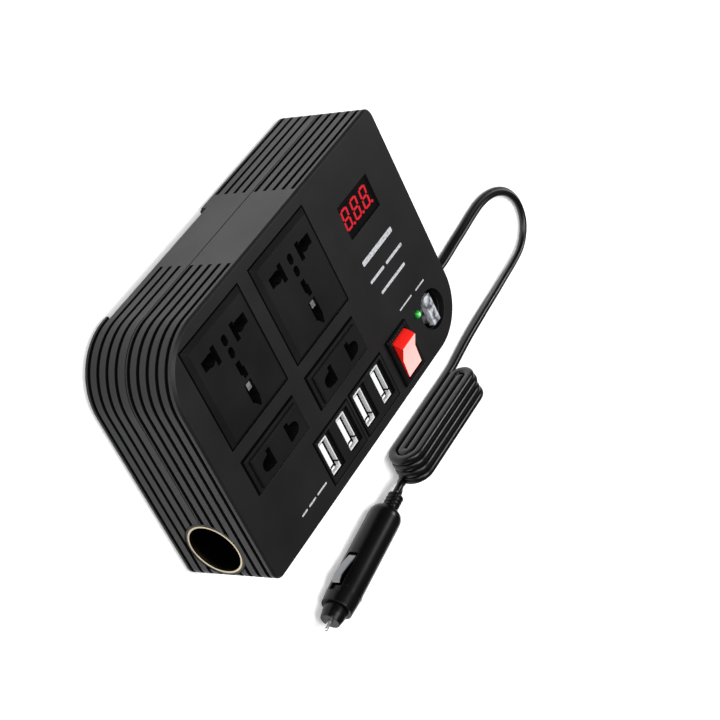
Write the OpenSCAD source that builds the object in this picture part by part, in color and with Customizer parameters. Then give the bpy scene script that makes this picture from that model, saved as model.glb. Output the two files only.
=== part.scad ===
// Small car power inverter lying on its back: mains sockets, USB ports, volt display and rocker
// switch on the front panel, a lighter socket in the left side, and a flat lead with a car plug.
// Millimetres. +Z is up out of the panel, +X along the case, origin under the middle of the case.

/* [Case] */
// Length of the case
case_w = 152; // [150:1:156]
// Height of the panel
case_h = 100; // [99:1:102]
// Thickness of the case, back to panel
case_d = 42.5; // [42:0.5:45]
// Thickness of the side walls
wall = 2.4; // [2:0.1:2.8]
// Thickness of the front panel
panel_t = 2.6; // [2:0.1:3]
// Radius of the large corner at the upper left
corner_left = 24; // [20:1:28]
// Radius of the large corner at the lower right
corner_right = 21; // [18:1:24]
// Radius of the two small corners
corner_small = 4.5; // [4:0.5:6]
// Height of the joint between the front and back covers
seam_z = 20.8; // [20:0.2:21.6]
// Gap at the joint between the covers
seam_gap = 0.3; // [0.2:0.1:0.5]
// Bevel round the edge of the panel
panel_bevel = 0.9; // [0.5:0.1:1.5]
// Bevel round the back
back_bevel = 1.8; // [1:0.1:2.5]
// Depth of the shallow channel between the two feet
channel_d = 4.3; // [2:0.1:5]

/* [Side grooves] */
// Distance from one groove to the next
groove_pitch = 4.3; // [4.1:0.05:4.35]
// Width of a groove
groove_w = 1.5; // [1.1:0.1:1.6]
// Depth of a groove
groove_d = 1.2; // [0.8:0.1:1.3]
// Length of the smooth stretch in the middle of the long sides
smooth_w = 44; // [30:1:60]

/* [Mains sockets] */
// Width of a universal socket
uni_w = 37.6; // [36:0.2:38]
// Height of a universal socket
uni_h = 41.6; // [40:0.2:42]
// How far a universal socket stands out of the panel
uni_out = 1.5; // [1:0.1:2]
// Width of a slim socket
slim_w = 34.8; // [34:0.2:36]
// Height of a slim socket
slim_h = 14.4; // [14:0.2:15]
// How far a slim socket stands out of the panel
slim_out = 2.2; // [1.5:0.1:2.4]
// Spacing of the round pin holes
pin_pitch = 19.2; // [18.8:0.1:19.4]
// Spacing of the flat blade holes
blade_pitch = 12.7; // [12.6:0.1:12.8]

/* [USB ports] */
// Width of a double USB frame
usb_w = 24.4; // [24:0.1:25]
// Height of a double USB frame
usb_h = 19.4; // [19:0.1:20]
// Distance between the two ports of a frame
usb_pitch = 13.4; // [13:0.1:13.6]
// Width of a port's metal shell
shell_w = 5.5; // [5.3:0.1:5.7]
// Height of a port's metal shell
shell_h = 14.2; // [13.6:0.1:14.4]

/* [Switch] */
// Width of the switch bezel
switch_w = 15.2; // [15:0.1:15.6]
// Height of the switch bezel
switch_h = 21.3; // [21:0.1:21.6]
// Radius of the rocker's ends about its pin
rocker_r = 8.6; // [8.2:0.1:8.7]

/* [Lighter socket] */
// Inside radius of the metal sleeve
lighter_r = 10.5; // [10.45:0.05:10.6]
// Depth of the sleeve
lighter_len = 35; // [30:1:36]

/* [Lead and plug] */
// Width of the flat lead
lead_w = 4.7; // [4:0.1:5]
// Thickness of the flat lead
lead_t = 3.3; // [3:0.1:3.5]
// Number of turns in the hank
hank_turns = 4; // [3:1:5]
// Radius of the plug
plug_r = 7; // [6.5:0.1:7]

/* [Hidden] */
$fn = 64;
eps = 0.01;

// Positions on the panel, measured from the middle of the panel
uni_x = [-45.4, 0.2];
uni_y = 23.1;
slim_x = [-46.2, -1.2];
slim_y = -11.5;
usb_x = [-17.8, 9];
usb_y = -35.1;
port_shift = 1.7;
port_x = [for (x = usb_x) for (s = [-1, 1]) x + s * usb_pitch / 2 - port_shift];
port_y = -34.2;
display_pos = [46.4, 24.2];
display_size = [22.4, 14.4];
led_pos = [49.5, -28.9];
led_r = 1.7;
fuse_pos = [59.2, -33.9];
fuse_hole_r = 8.1;
switch_pos = [33.6, -35.1];
lighter_y = -35.1;
gland_y = -23;
boss_pos = [[-69.3, 18], [-69.3, -13], [69.5, 43.4], [70, -12]];

panel_in = case_d - panel_t;
floor_z = channel_d + 2.5;
flange_t = 1.3;
slip = 0.05;
around = 0.65; // gap round a socket in the panel

// Corner centres and radii, anticlockwise from the lower left
corners = [
    [-case_w / 2 + corner_small, -case_h / 2 + corner_small, corner_small],
    [case_w / 2 - corner_right, -case_h / 2 + corner_right, corner_right],
    [case_w / 2 - corner_small, case_h / 2 - corner_small, corner_small],
    [-case_w / 2 + corner_left, case_h / 2 - corner_left, corner_left]];
corner_dirs = [[[-1, 0], [0, -1]], [[0, -1], [1, 0]], [[1, 0], [0, 1]], [[0, 1], [-1, 0]]];

// Outline of the case, drawn in by the inset all round
module outline(inset = 0) {
    polygon([for (i = [0:3]) for (d = corner_dirs[i])
        [corners[i][0], corners[i][1]] + d * (corners[i][2] - inset)]);
    for (c = corners) translate([c[0], c[1]]) circle(c[2] - inset);
}

// A layer of the case whose outline goes from one inset to another: four cones and four wedges
module bevel_layer(z, h, inset_low, inset_high) {
    low = [case_w / 2, case_h / 2] - [inset_low, inset_low];
    high = [case_w / 2, case_h / 2] - [inset_high, inset_high];
    for (c = corners) translate([c[0], c[1], z])
        cylinder(h = h, r1 = c[2] - inset_low, r2 = c[2] - inset_high);
    translate([0, 0, z]) linear_extrude(h) polygon([for (c = corners) [c[0], c[1]]]);
    for (s = [[0, 1, -1], [3, 2, 1]]) {
        a = corners[s[0]];
        b = corners[s[1]];
        inner = s[2] * min(abs(a[1]), abs(b[1]));
        translate([a[0], 0, 0]) rotate([90, 0, 90]) linear_extrude(b[0] - a[0])
            polygon([[inner, z], [s[2] * low[1], z], [s[2] * high[1], z + h], [inner, z + h]]);
    }
    for (s = [[0, 3, -1], [1, 2, 1]]) {
        a = corners[s[0]];
        b = corners[s[1]];
        inner = s[2] * min(abs(a[0]), abs(b[0]));
        translate([0, b[1], 0]) rotate([90, 0, 0]) linear_extrude(b[1] - a[1])
            polygon([[inner, z], [s[2] * low[0], z], [s[2] * high[0], z + h], [inner, z + h]]);
    }
}

// The grooves round the sides, missing on the smooth stretches and round the lighter socket
module grooves(heights) {
    for (z = heights) difference() {
        translate([0, 0, z - groove_w / 2]) linear_extrude(groove_w) difference() {
            square([case_w + 4, case_h + 4], center = true);
            outline(groove_d);
        }
        translate([-smooth_w / 2, -case_h, 0]) cube([smooth_w, 2 * case_h, case_d]);
        translate([-case_w, lighter_y, seam_z]) rotate([0, 90, 0]) cylinder(h = case_w / 2, r = 13.6);
        translate([case_w / 2, gland_y, seam_z]) rotate([0, 90, 0])
            cylinder(h = 12, r = 7.5, center = true);
    }
}

module at_bosses() {
    for (p = boss_pos) translate([p[0], p[1], 0]) children();
}

// A rectangular block whose top edges slope in, mitred at the corners
module sloped_block(w, h, z0, z1, z2, inset) {
    intersection() {
        rotate([90, 0, 0]) linear_extrude(h, center = true)
            polygon([[-w / 2, z0], [w / 2, z0], [w / 2, z1],
                [w / 2 - inset, z2], [-w / 2 + inset, z2], [-w / 2, z1]]);
        rotate([90, 0, 90]) linear_extrude(w, center = true)
            polygon([[-h / 2, z0], [h / 2, z0], [h / 2, z1],
                [h / 2 - inset, z2], [-h / 2 + inset, z2], [-h / 2, z1]]);
    }
}

module block(w, h, z0, z1) {
    translate([-w / 2, -h / 2, z0]) cube([w, h, z1 - z0]);
}

module front_cover() {
    color("#2a2a2b") difference() {
        union() {
            difference() {
                union() {
                    translate([0, 0, seam_z]) linear_extrude(case_d - panel_bevel - seam_z) outline();
                    bevel_layer(case_d - panel_bevel, panel_bevel, 0, panel_bevel);
                }
                translate([0, 0, seam_z - 1]) linear_extrude(panel_in - seam_z + 1) outline(wall);
            }
            at_bosses() translate([0, 0, seam_z]) cylinder(h = panel_in - seam_z + eps, r = 3.2);
        }
        grooves([for (i = [1:5]) case_d + 1.2 - i * groove_pitch]);
        for (x = uni_x) translate([x, uni_y, 0])
            block(uni_w + 2 * around, uni_h + 2 * around, panel_in - 1, case_d + 1);
        for (x = slim_x) translate([x, slim_y, 0])
            block(slim_w + 2 * around, slim_h + 2 * around, panel_in - 1, case_d + 1);
        for (x = usb_x) translate([x, usb_y, 0])
            block(usb_w + 2 * around, usb_h + 2 * around, panel_in - 1, case_d + 1);
        translate([display_pos[0], display_pos[1], 0])
            block(display_size[0], display_size[1], panel_in - 1, case_d + 1);
        translate([led_pos[0], led_pos[1], panel_in - 1]) cylinder(h = panel_t + 2, r = led_r + 0.1);
        translate([fuse_pos[0], fuse_pos[1], panel_in - 1]) cylinder(h = panel_t + 2, r = fuse_hole_r);
        translate([switch_pos[0], switch_pos[1], 0])
            block(switch_w - 2, switch_h - 2.2, panel_in - 1, case_d + 1);
        at_bosses() translate([0, 0, seam_z - 1]) cylinder(h = 13, r = 1.35);
        side_holes();
    }
}

// The lighter socket and the gland sit in the joint, half in each cover
module side_holes() {
    translate([-case_w / 2 - 1, lighter_y, seam_z]) rotate([0, 90, 0]) cylinder(h = wall + 4, r = 12.4);
    translate([case_w / 2 - wall - 1, gland_y, seam_z]) rotate([0, 90, 0]) cylinder(h = wall + 4, r = 4.4);
}

module back_cover() {
    top = seam_z - seam_gap;
    color("#2f2f31") difference() {
        union() {
            difference() {
                union() {
                    bevel_layer(0, back_bevel, back_bevel, 0);
                    translate([0, 0, back_bevel]) linear_extrude(top - back_bevel) outline();
                }
                translate([0, 0, floor_z]) linear_extrude(case_d) outline(wall);
            }
            at_bosses() translate([0, 0, 1]) cylinder(h = top - 1, r = 3.2);
            for (x = [-30, 60]) for (y = [-38, 38]) translate([x, y, floor_z - 1]) cylinder(h = 4, r = 3);
        }
        translate([-50, -case_h, -1]) cube([64, 2 * case_h, channel_d + 1]);
        intersection() {
            translate([0, 0, 2.4]) linear_extrude(floor_z) outline(wall + 0.6);
            union() {
                translate([17, -case_h, 0]) cube([48, 2 * case_h, floor_z + 1]);
                translate([-65, -case_h, 0]) cube([12, 2 * case_h, floor_z + 1]);
            }
        }
        grooves([for (i = [1:4]) seam_z - i * groove_pitch]);
        at_bosses() {
            cylinder(h = case_d, r = 1.7);
            translate([0, 0, -1]) cylinder(h = 8, r = 3);
        }
        for (x = [-30, 60]) for (y = [-38, 38]) translate([x, y, floor_z - 0.5]) cylinder(h = 6, r = 1.05);
        side_holes();
    }
}

module case_screws() {
    color("#6d6f72") at_bosses() difference() {
        union() {
            translate([0, 0, 4.6]) cylinder(h = 2.4, r = 2.8);
            translate([0, 0, 6.9]) cylinder(h = 24, r = 1.3);
        }
        translate([0, 0, 4]) block(3.4, 0.9, 0, 1.8);
        translate([0, 0, 4]) block(0.9, 3.4, 0, 1.8);
    }
}

// ---- Mains sockets: the holes are cut to this depth below the face
pin_depth = 12.5;

// Keeps a flange inside the case where the large corner comes close
module inside_case(x, y) {
    intersection() {
        children();
        translate([-x, -y, 0]) linear_extrude(case_d) outline(wall + 0.3);
    }
}

// Two combined pin holes, two small ovals, a stepped slot and the earth hole
module pin_holes() {
    for (s = [-1, 1]) {
        translate([s * pin_pitch / 2, 10.7]) circle(2.5);
        translate([s * blade_pitch / 2, 10.4]) square([2.3, 7.6], center = true);
        translate([s * 10.8, 10.9]) square([6.4, 4.3], center = true);
    }
    for (p = [[0.3, 11.4], [0.5, 5.9]]) for (t = [-0.7, 0, 0.7]) translate(p + [0, t]) circle(1.45);
    translate([0.6, -0.9]) square([2.6, 5.2], center = true);
    translate([1.4, -3.2]) square([2.4, 4.2], center = true);
    translate([0.4, -10.8]) square([4.6, 8], center = true);
    polygon([[-1.6, -14.4], [2.7, -14.4], [1.6, -17.6], [0.8, -17.6]]);
}

module uni_socket(x) {
    color("#222223") translate([x, uni_y, 0]) difference() {
        union() {
            sloped_block(uni_w, uni_h, panel_in - eps, case_d, case_d + uni_out, 1.9);
            inside_case(x, uni_y) block(uni_w + 3, uni_h + 3, panel_in - 0.1 - flange_t, panel_in - 0.1);
            block(uni_w - 2, uni_h - 2, 27, panel_in + 0.5);
        }
        translate([0, 0, case_d + uni_out - pin_depth]) linear_extrude(pin_depth + 2) pin_holes();
        for (s = [-1, 1]) translate([s * 9.6, 10.7, 0]) block(12.4, 9, 28, 31.5);
        translate([0.4, -10.8, 0]) block(6.4, 10, 28, 31.5);
    }
}

// A springy brass clip at the bottom of a pin hole: a base and two leaves
module clip(w, h) {
    color("#b08d3e") {
        block(w, h, 28.3, 29);
        for (s = [-1, 1]) translate([0, s * (h / 2 - 0.25), 0]) block(w - 1, 0.5, 28.9, 31.2);
    }
}

module uni_pin(x, side) {
    translate([x + side * 9.6, uni_y + 10.7, 0]) clip(11.6, 8.4);
}

// The earth contact has a bright leaf that shows in the mouth of the earth hole
module uni_earth(x) {
    translate([x + 0.4, uni_y - 10.8, 0]) {
        clip(5.8, 9.2);
        color("#c9ccd0") translate([0.6, 1.7, 0]) block(2.4, 2.6, 28.9, case_d + uni_out - 0.9);
    }
}

module slim_holes() {
    for (s = [-1, 1]) {
        translate([s * pin_pitch / 2, -0.5]) circle(2.5);
        translate([s * blade_pitch / 2, 0.3]) square([2.4, 7.4], center = true);
        polygon([[s * blade_pitch / 2, -3.4], [s * blade_pitch / 2, 2.6],
            [s * (pin_pitch / 2 + 0.4), 2], [s * (pin_pitch / 2 + 0.4), -3]]);
    }
}

module slim_socket(x) {
    color("#242425") translate([x, slim_y, 0]) difference() {
        union() {
            sloped_block(slim_w, slim_h, panel_in - eps, case_d + 0.6, case_d + 1, 0.5);
            sloped_block(slim_w - 3.6, slim_h - 2.4, case_d,
                case_d + slim_out - 0.5, case_d + slim_out, 0.6);
            block(slim_w + 3, slim_h + 2.6, panel_in - 0.1 - flange_t, panel_in - 0.1);
            block(slim_w - 2, slim_h - 2, 27, panel_in + 0.5);
        }
        translate([0, 0, case_d + slim_out - pin_depth]) linear_extrude(pin_depth + 2) slim_holes();
        for (s = [-1, 1]) translate([s * 8.2, 0, 0]) block(8.6, 9, 28, 32.4);
    }
}

module slim_contacts(x) {
    for (s = [-1, 1]) translate([x + s * 8.2, slim_y, 0]) clip(7.8, 8.4);
}

// ---- USB ports
module usb_frame(i) {
    color("#242425") translate([usb_x[i], usb_y, 0]) difference() {
        union() {
            sloped_block(usb_w, usb_h, panel_in - eps, case_d + 0.2, case_d + 0.6, 0.4);
            block(usb_w + 2, usb_h + 2, panel_in - 0.1 - flange_t, panel_in - 0.1);
            block(usb_w - 2, usb_h - 2, 27, panel_in + 0.5);
        }
        for (s = [-1, 1]) translate([s * usb_pitch / 2 - port_shift, port_y - usb_y, 0]) {
            block(shell_w + 0.4, shell_h + 0.4, 28.5, case_d + 2);
            translate([1.4, 0, 0]) block(shell_w + 2.8, shell_h + 1.6, case_d - 1.2, case_d + 2);
        }
    }
}

module usb_shell(i) {
    color("#c8c9cb") translate([port_x[i], port_y, 0]) difference() {
        union() {
            block(shell_w, shell_h, 28.7, case_d + 0.3);
            block(shell_w + 0.3, shell_h + 0.3, case_d - 0.7, case_d + 0.3);
        }
        block(shell_w - 0.8, shell_h - 0.8, 29.3, case_d + 2);
    }
}

module usb_tongue(i) {
    color("#e8e8ea") translate([port_x[i] - 0.95, port_y, 0]) {
        block(2.4, shell_h - 2.4, 29.4, case_d - 0.2);
        block(2.4, shell_h - 1.2, 29.4, 31);
    }
}

// ---- Display, indicator lamp
module display_window() {
    color("#0c0c0e") translate([display_pos[0], display_pos[1], 0])
        block(display_size[0] - 0.3, display_size[1] - 0.3, case_d - 1, case_d - 0.3);
}

module display_body() {
    color("#101012") translate([display_pos[0], display_pos[1], 0]) {
        block(display_size[0] - 0.6, display_size[1] - 0.6, 34, case_d - 1.4);
        block(display_size[0] + 3, display_size[1] + 3, 34, 35.6);
    }
}

digit_pitch = 7;
digit_w = 4.5;
digit_h = 8.6;
seg_t = 0.75;
seg_len = digit_h / 2 - seg_t - 0.25;

// One seven-segment figure with its decimal point
module digit() {
    for (y = [-1, 0, 1]) translate([0, y * (digit_h / 2 - seg_t / 2)])
        square([digit_w - 2 * seg_t - 0.3, seg_t], center = true);
    for (sx = [-1, 1]) for (sy = [-1, 1])
        translate([sx * (digit_w / 2 - seg_t / 2), sy * (digit_h / 4)])
            square([seg_t, seg_len], center = true);
    translate([digit_w / 2 + 1.1, -digit_h / 2 + seg_t / 2]) circle(0.55, $fn = 24);
}

module display_segments() {
    color("#ff2a1c") for (i = [-1:1])
        translate([display_pos[0] + i * digit_pitch - 0.5, display_pos[1], case_d - 1.35])
            multmatrix([[1, 0.09, 0, 0], [0, 1, 0, 0], [0, 0, 1, 0], [0, 0, 0, 1]])
                linear_extrude(0.3) digit();
}

module power_led() {
    color("#3df06a") translate([led_pos[0], led_pos[1], 0]) {
        translate([0, 0, 34]) cylinder(h = case_d - 34, r = led_r);
        translate([0, 0, case_d]) intersection() {
            sphere(led_r);
            cylinder(h = 3, r = 3);
        }
    }
}

// ---- Blade fuse in its round well
well_floor = 30;

module at_fuse() {
    translate([fuse_pos[0], fuse_pos[1], 0]) children();
}

module fuse_holder() {
    color("#1c1c1d") at_fuse() difference() {
        union() {
            translate([0, 0, 22]) cylinder(h = panel_in - 0.1 - 22, r = fuse_hole_r + 0.8);
            translate([0, 0, panel_in - 0.1 - flange_t]) cylinder(h = flange_t, r = fuse_hole_r + 1.6);
        }
        translate([led_pos[0] - fuse_pos[0], led_pos[1] - fuse_pos[1], 0])
            cylinder(h = case_d, r = led_r + 0.3);
        translate([0, 0, well_floor]) cylinder(h = case_d, r = fuse_hole_r - 0.2);
        for (s = [-1, 1]) translate([0, s * 3.9, 0]) block(1.9, 3.8, 23, well_floor + 1);
    }
}

module fuse_body() {
    color("#d8dde2") at_fuse() {
        block(3.8, 11.4, well_floor + 2.4, well_floor + 9.6);
        block(4.8, 12.6, well_floor + 9.5, well_floor + 12.3);
    }
}

module fuse_blades() {
    color("#b9bcc0") at_fuse() for (s = [-1, 1]) translate([0, s * 3.9, 0])
        block(0.7, 2.8, 24.6, well_floor + 2.35);
}

module fuse_clips() {
    color("#b08d3e") at_fuse() for (s = [-1, 1]) for (t = [-1, 1])
        translate([t * 0.68, s * 3.9, 0]) block(0.4, 3, 23.4, well_floor - 1);
}

// ---- Rocker switch
rocker_z = case_d + 1.7 - 3.5;
rocker_w = 10;
pin_r = 1;

module at_switch() {
    translate([switch_pos[0], switch_pos[1], 0]) children();
}

module switch_housing() {
    color("#1f1f20") at_switch() difference() {
        union() {
            sloped_block(switch_w, switch_h, case_d + 0.02, case_d + 1.1, case_d + 1.7, 0.6);
            block(switch_w - 2.6, switch_h - 2.8, 26, case_d + 1);
        }
        block(rocker_w + 0.5, 2 * rocker_r + 0.6, 29, case_d + 3);
        translate([-switch_w / 2 + 1, 0, rocker_z]) rotate([0, 90, 0])
            cylinder(h = switch_w - 2, r = pin_r + slip);
    }
}

// The ends are round about the pin, and the top is a shallow V that stands proud at one end
module switch_rocker() {
    color("#ff2410") at_switch() {
        intersection() {
            translate([-rocker_w / 2, 0, rocker_z]) rotate([0, 90, 0])
                cylinder(h = rocker_w, r = rocker_r, $fn = 96);
            translate([-rocker_w / 2, 0, rocker_z + 3.5]) rotate([90, 0, 90]) linear_extrude(rocker_w)
                polygon([[-9, -8], [-9, 0.1], [0, 0.8], [6.5, 3.8], [9, 3.8], [9, -8]]);
        }
        translate([-rocker_w / 2 - 0.9, 0, rocker_z]) rotate([0, 90, 0])
            cylinder(h = rocker_w + 1.8, r = pin_r);
    }
}

module switch_terminals() {
    color("#b9bcc0") at_switch() for (y = [-6, 0, 6]) translate([0, y, 0]) block(4.7, 0.8, 16.5, 25.95);
}

// ---- Lighter socket, lying along -X
module at_lighter() {
    translate([-case_w / 2, lighter_y, seam_z]) rotate([0, 90, 0]) children();
}

module lighter_shroud() {
    color("#1d1d1e") at_lighter() difference() {
        union() {
            translate([0, 0, 0.2]) cylinder(h = lighter_len + 2.8, r = 12.1);
            translate([0, 0, wall + 0.3]) cylinder(h = 1.6, r = 13.2);
        }
        translate([0, 0, -1]) cylinder(h = lighter_len + 2, r = 11.3);
        translate([0, 0, lighter_len]) cylinder(h = 6, r = 2.2);
        translate([-20, -20, wall]) cube([40, 7.9, 2.5]);
    }
}

module lighter_sleeve() {
    color("#b7a98a") at_lighter() difference() {
        union() {
            translate([0, 0, 0.1]) cylinder(h = lighter_len - 0.1, r = lighter_r + 0.6);
            translate([0, 0, 0.05]) cylinder(h = 0.9, r = lighter_r + 0.75);
        }
        translate([0, 0, -1]) cylinder(h = lighter_len + 0.2, r = lighter_r);
        translate([0, 0, lighter_len - 2]) cylinder(h = 6, r = 3.4);
    }
}

module lighter_contact() {
    color("#c9ccd0") at_lighter() {
        translate([0, 0, lighter_len - 0.7]) cylinder(h = 6.5, r = 2.1);
        translate([0, 0, lighter_len - 0.7]) cylinder(h = 1.2, r = 3);
    }
}

// ---- Inside the case
board_z = floor_z + 3.1;
board_t = 1.6;

module board_posts() {
    for (x = [-30, 60]) for (y = [-38, 38]) translate([x, y, 0]) children();
}

module main_board() {
    color("#1f5a34") difference() {
        translate([-34, -42, board_z]) cube([98, 84, board_t]);
        board_posts() translate([0, 0, board_z - 1]) cylinder(h = 5, r = 1.4);
    }
}

module board_screws() {
    color("#8d9094") board_posts() {
        translate([0, 0, board_z + board_t + 0.05]) cylinder(h = 1.6, r = 2.4);
        translate([0, 0, board_z - 2.4]) cylinder(h = 6, r = 1);
    }
}

part_z = board_z + board_t + 0.05;

module transformer_core() {
    color("#3a3a3e") translate([0, 10, 0]) difference() {
        block(32, 26, part_z + 0.5, part_z + 12.5);
        for (s = [-1, 1]) translate([s * 9, 0, 0]) block(8, 40, part_z + 3, part_z + 10);
    }
}

// Two copper coils in the core's windows, wound on the middle leg
module transformer_winding() {
    color("#b5672a") translate([0, 10, 0]) difference() {
        block(25.4, 33, part_z + 3.3, part_z + 9.7);
        block(10.6, 26.6, part_z + 2, part_z + 11);
    }
}

module capacitors() {
    color("#23324f") for (p = [[30, 12, 5], [30, -2, 5], [44, 12, 4], [44, 2, 4], [-24, -4, 4]])
        translate([p[0], p[1], part_z]) cylinder(h = 12, r = p[2]);
}

module power_transistors() {
    color("#1b1b1d") for (i = [0:3]) translate([-9 + i * 12, 33.4, 0]) block(10, 4.4, part_z, part_z + 13);
}

module heat_sink() {
    color("#a9adb2") translate([9, 37, 0]) {
        block(50, 2, part_z, part_z + 13.5);
        for (i = [-4:4]) translate([i * 5.6, 2.4, 0]) block(1.2, 3, part_z + 0.2, part_z + 13.5);
    }
}

module choke() {
    color("#c07a2c") translate([-24.4, 27, part_z + 4.6]) rotate_extrude() translate([6, 0]) circle(3.4);
}

// ---- Lead: a flat twin cable. Each point of its route is x, y, z and the roll of the lead there.
run_route = [[84, -23, 20.8, 0], [88.5, -23.6, 19.8, 0], [92, -26.3, 16.4, 5], [94.5, -31, 11.6, 10],
    [97, -37, 7.4, 15], [100, -43.5, 4.6, 20], [104, -49.8, 3, 25], [109, -54.6, 2.3, 32],
    [115, -57.2, 2.1, 38], [121.5, -57.5, 2.1, 42], [128.2, -57.2, 2.1, 46], [135.3, -56.5, 2.2, 52],
    [144.4, -55.9, 2.2, 58],
    [153.2, -55.1, 2.3, 62], [162, -54.8, 2.3, 61], [170.3, -56.1, 2.2, 56], [177.8, -59.1, 2.1, 48],
    [184.2, -63.9, 2, 40], [188.1, -70.1, 2, 36], [188.9, -76.7, 2, 36], [186.7, -82.9, 2, 38],
    [181.9, -87.7, 2, 40], [175.6, -90.4, 2.1, 44], [167.4, -91.4, 2.2, 51], [157.4, -91.8, 2.3, 60],
    [147.3, -92.2, 2.4, 71], [137.3, -92.6, 2.4, 81], [127.2, -93.2, 2.4, 88], [117.2, -94, 2.4, 90],
    [108.3, -95.2, 2.4, 90], [100, -96.4, 2.4, 90], [92, -96.75, 2.4, 90]];
plug_route = [[90, -110.7, 2.4, 90], [76, -110.7, 2.4, 90], [62, -110.7, 2.4, 90], [51, -110.7, 2.4, 90],
    [46.5, -110.4, 2.6, 90], [42.5, -109.1, 3.4, 85], [39, -107.5, 4.8, 70], [36, -106.6, 6, 45],
    [33, -106.3, 6.8, 20], [29.6, -106.8, 7.1, 0]];
hank_x = [38, 101];
hank_h = 16.5;
hank_y = -95;
layer_t = lead_t + 0.2;

function unit(v) = v / norm(v);
function tangent(p, i) = unit(p[min(i + 1, len(p) - 1)] - p[max(i - 1, 0)]);

// One oval ring of the lead: its width across, its thickness, rolled about the route by an angle
function ring(p, i, roll, sides) =
    let (d = tangent(p, i), side = unit(cross(d, [0, 0, 1])), up = cross(side, d))
    [for (k = [0:sides - 1])
        let (a = 360 * k / sides, u = lead_w / 2 * cos(a), v = lead_t / 2 * sin(a))
        p[i] + side * (u * cos(roll) - v * sin(roll)) + up * (u * sin(roll) + v * cos(roll))];

module sweep(route, sides = 10) {
    p = [for (r = route) [r[0], r[1], r[2]]];
    n = len(p);
    polyhedron(
        points = [for (i = [0:n - 1]) each ring(p, i, route[i][3], sides)],
        faces = concat(
            [[for (k = [0:sides - 1]) k]],
            [for (i = [0:n - 2]) for (k = [0:sides - 1])
                let (a = i * sides + k, b = i * sides + (k + 1) % sides)
                each [[a, a + sides, b], [b, a + sides, b + sides]]],
            [[for (k = [sides - 1:-1:0]) (n - 1) * sides + k]]));
}

module cord_run() {
    color("#161617") sweep(run_route);
}

module cord_hank() {
    r = hank_h / 2;
    color("#161617") translate([0, hank_y, 0]) rotate([90, 0, 0]) linear_extrude(hank_turns * layer_t) {
        translate([hank_x[0] + r, 0]) square([hank_x[1] - hank_x[0] - hank_h, hank_h]);
        for (x = [hank_x[0] + r, hank_x[1] - r]) translate([x, r]) circle(r);
    }
}

module cord_plug_end() {
    color("#161617") sweep(plug_route);
}

module cord_gland() {
    color("#19191a") translate([case_w / 2, gland_y, seam_z]) rotate([0, 90, 0]) {
        translate([0, 0, -wall - 1.8]) cylinder(h = 1.5, r = 5.4);
        translate([0, 0, -wall - 0.4]) cylinder(h = wall + 1.2, r = 4.1);
        translate([0, 0, 0.3]) cylinder(h = 1.7, r = 5.4);
        translate([0, 0, 1.9]) cylinder(h = 6.1, r1 = 4.2, r2 = 3);
    }
}

// ---- Car plug, lying on its side at the end of the lead
plug_angle = 187;
leaf_w = 3.6; // width of a side contact

module at_plug() {
    translate([29.5, -106.8, plug_r + 0.1]) rotate([0, 0, plug_angle]) rotate([0, 90, 0]) children();
}

module plug_sleeve() {
    color("#19191a") at_plug() rotate_extrude() polygon(concat([[0, 0.2]],
        [for (z = [0.2:1.8:5.7]) each [[3.4, z], [3.4, z + 1.1], [2.9, z + 1.2], [2.9, z + 1.7]]],
        [[2.9, 11.5], [0, 11.5]]));
}

module plug_handle() {
    color("#1b1b1c") at_plug() difference() {
        rotate_extrude() polygon([[3.2, 7.6], [4.4, 7.6], [6.1, 9], [6.8, 10.6], [plug_r, 12.4],
            [plug_r, 50.4], [5.2, 50.4], [5.2, 13], [3.2, 13]]);
        for (s = [-1, 1]) translate([0, s * plug_r, 43]) cube([leaf_w + 1.2, 6, 16], center = true);
    }
}

module plug_collar() {
    color("#29292a") at_plug() difference() {
        rotate_extrude() polygon([[4.5, 50.5], [plug_r, 50.5], [plug_r, 52.6], [6.6, 58.3], [4.5, 58.3]]);
        for (s = [-1, 1]) translate([0, s * 7.5, 51.6]) cube([leaf_w + 1.2, 4.4, 4], center = true);
    }
}

module plug_nose() {
    color("#161617") at_plug() rotate_extrude()
        polygon([[1, 58.4], [5.1, 58.4], [4.9, 61], [4.2, 64.4], [1, 64.4]]);
}

module plug_tip() {
    color("#d2d4d6") at_plug() {
        translate([0, 0, 56]) cylinder(h = 12.2, r = 0.95);
        translate([0, 0, 68.2]) sphere(0.95);
        translate([0, 0, 56.4]) cylinder(h = 1.4, r = 3.4);
    }
}

// The spring behind the tip, at its pressed length, as four turns of wire
module plug_tip_spring() {
    turns = 4;
    steps = 12;
    wire = 0.3;
    function p(i) =
        [2.2 * cos(360 * i / steps), 2.2 * sin(360 * i / steps), 48.6 + 4 * i / (turns * steps)];
    n = turns * steps;
    color("#b9bcc0") at_plug() polyhedron(
        points = [for (i = [0:n]) for (k = [0:5])
            let (c = p(i), out = [c[0], c[1], 0] / 2.2)
            c + out * wire * cos(60 * k) + [0, 0, wire * sin(60 * k)]],
        faces = concat([[for (k = [5:-1:0]) k]],
            [for (i = [0:n - 1]) for (k = [0:5])
                let (a = i * 6 + k, b = i * 6 + (k + 1) % 6)
                each [[a, b, a + 6], [b, b + 6, a + 6]]],
            [[for (k = [0:5]) n * 6 + k]]));
}

module plug_fuse() {
    color("#c8ccd0") at_plug() translate([0, 0, 22]) cylinder(h = 26, r = 2.6);
}

// A bowed leaf in each side slot; it is pressed in by the wall of the lighter socket
module plug_contact(side) {
    color("#cfd1d3") at_plug() rotate([90, 0, 90]) linear_extrude(leaf_w, center = true)
        polygon([for (p = [[5.6, 36.2], [6.4, 36.2], [7.4, 40], [8.4, 44.6], [8.8, 47.6], [8.2, 50.2],
                [7.5, 51], [7.1, 50.4], [7.6, 49.6], [8.1, 47.6], [7.8, 45], [6.8, 40.6], [5.6, 37.2]])
            [side * p[0], p[1]]]);
}

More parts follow.
